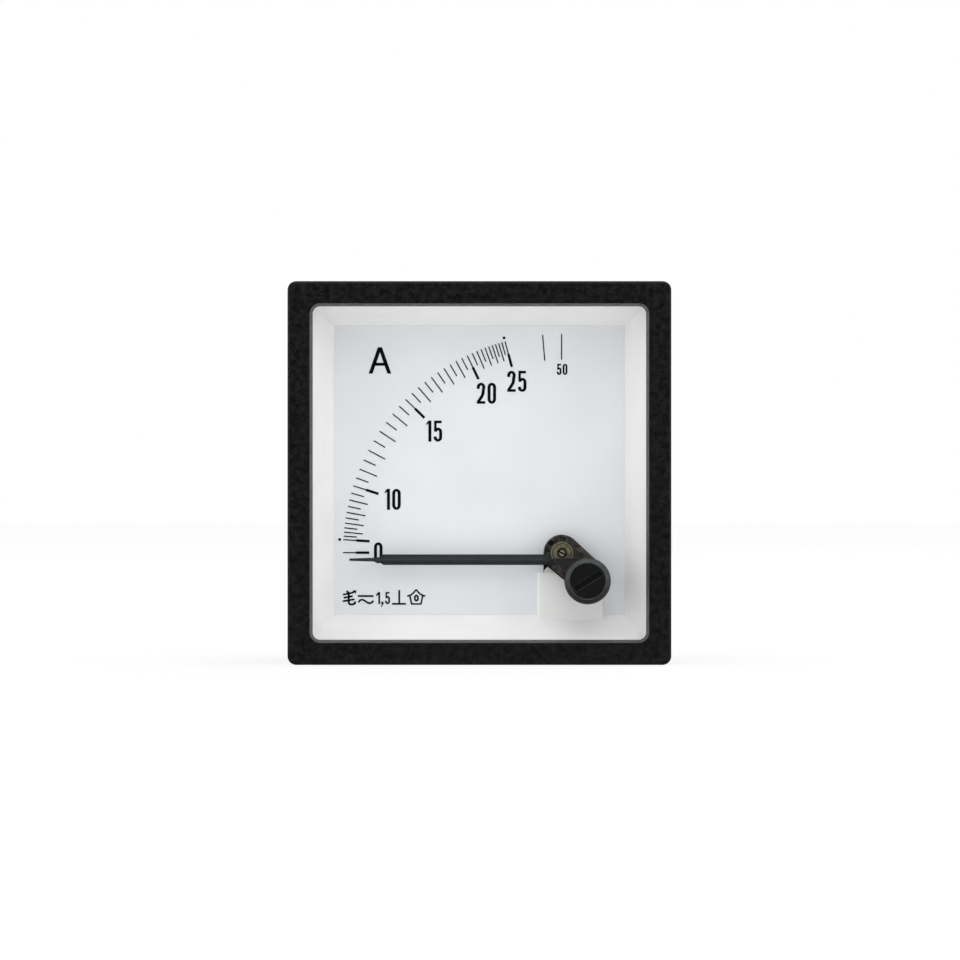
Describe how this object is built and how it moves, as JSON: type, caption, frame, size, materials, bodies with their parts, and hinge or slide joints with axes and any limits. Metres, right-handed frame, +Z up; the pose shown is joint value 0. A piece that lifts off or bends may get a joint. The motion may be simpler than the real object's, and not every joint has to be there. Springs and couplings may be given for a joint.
{
  "type": "analog panel meter",
  "caption": "Square flush-mounting moving-iron ammeter with a black bezel, white dial, quarter-circle scale, pointer, zero adjuster and rear terminal studs.",
  "frame": {"origin": "centre of the square panel cut-out, in the plane of the panel's face, where the rear of the bezel seats", "axes": "+Y into the panel, from the window towards the terminals; +Z up along the dial; +X to the right as seen from the front"},
  "size_m": [0.072, 0.0615, 0.072],
  "materials": {
    "case_black": "fine spark-eroded mould texture",
    "bezel_black": "satin, fine mould texture",
    "window_clear": "clear float glass",
    "surround_white": "satin moulded white",
    "dial_white": "matte white lacquer on sheet aluminium",
    "dial_ink": "printed black ink",
    "base_black": "moulded black",
    "zinc_steel": "zinc plated",
    "sheet_aluminium": "plain rolled sheet",
    "frame_black": "glass-filled black moulding, slight sheen",
    "bush_brass": "dull turned brass",
    "screw_brass": "turned brass",
    "bobbin_cream": "moulded nylon",
    "coil_copper": "enamelled copper",
    "soft_iron": "annealed sheet",
    "terminal_brass": "plain brass",
    "adjuster_black": "satin black",
    "spring_steel": "spring steel",
    "blued_steel": "blued",
    "lever_brown": "dark brown, slight sheen",
    "spindle_steel": "polished",
    "pointer_grey": "dark grey matte paint on thin aluminium",
    "spring_alloy": "bronze strip"
  },
  "bodies": {
    "meter_case": {"case": "case_black", "bezel": "bezel_black", "window_glass": "window_clear", "surround": "surround_white", "dial_plate": "dial_white", "scale_marks": "dial_ink", "movement_base": "base_black", "movement_screws": "zinc_steel", "damping_cover": "sheet_aluminium", "front_frame": "frame_black", "front_bridge": "frame_black", "frame_screws": "zinc_steel", "front_bush": "bush_brass", "front_jewel_screw": "screw_brass", "rear_jewel_screw": "screw_brass", "coil_bobbin": "bobbin_cream", "coil_winding": "coil_copper", "fixed_iron": "soft_iron", "coil_lead_left": "coil_copper", "coil_lead_right": "coil_copper", "terminal_stud_left": "terminal_brass", "terminal_stud_right": "terminal_brass", "terminal_washers": "zinc_steel", "terminal_nuts": "terminal_brass"},
    "adjuster": {"zero_adjuster": "adjuster_black", "adjuster_ring": "spring_steel"},
    "lever": {"zero_lever": "lever_brown", "spring_stud": "blued_steel"},
    "moving_system": {"spindle": "spindle_steel", "pointer": "pointer_grey", "balance_cross": "screw_brass", "balance_weights": "screw_brass", "spring_collet": "screw_brass", "hairspring": "spring_alloy", "damping_vane": "sheet_aluminium", "moving_iron": "soft_iron"}
  },
  "joints": [
    {"name": "zero_adjuster_turn", "type": "hinge", "parent": "meter_case", "child": "adjuster", "pos_m": [0.0203, 0, -0.02029], "axis": [0, 1, 0], "range_deg": [-40, 40]},
    {"name": "zero_lever_swing", "type": "hinge", "parent": "meter_case", "child": "lever", "pos_m": [0.0156, 0, -0.0151], "axis": [0, 1, 0], "range_deg": [-6.4, 6.4]},
    {"name": "pointer_swing", "type": "hinge", "parent": "lever", "child": "moving_system", "pos_m": [0.0156, 0, -0.0151], "axis": [0, 1, 0], "range_deg": [-2, 92], "stiffness_Nm_per_rad": 0.00005, "deforming": ["hairspring"]}
  ],
  "couplings": [
    {"joint": "zero_lever_swing", "follows": "zero_adjuster_turn", "ratio": -0.155}
  ]
}
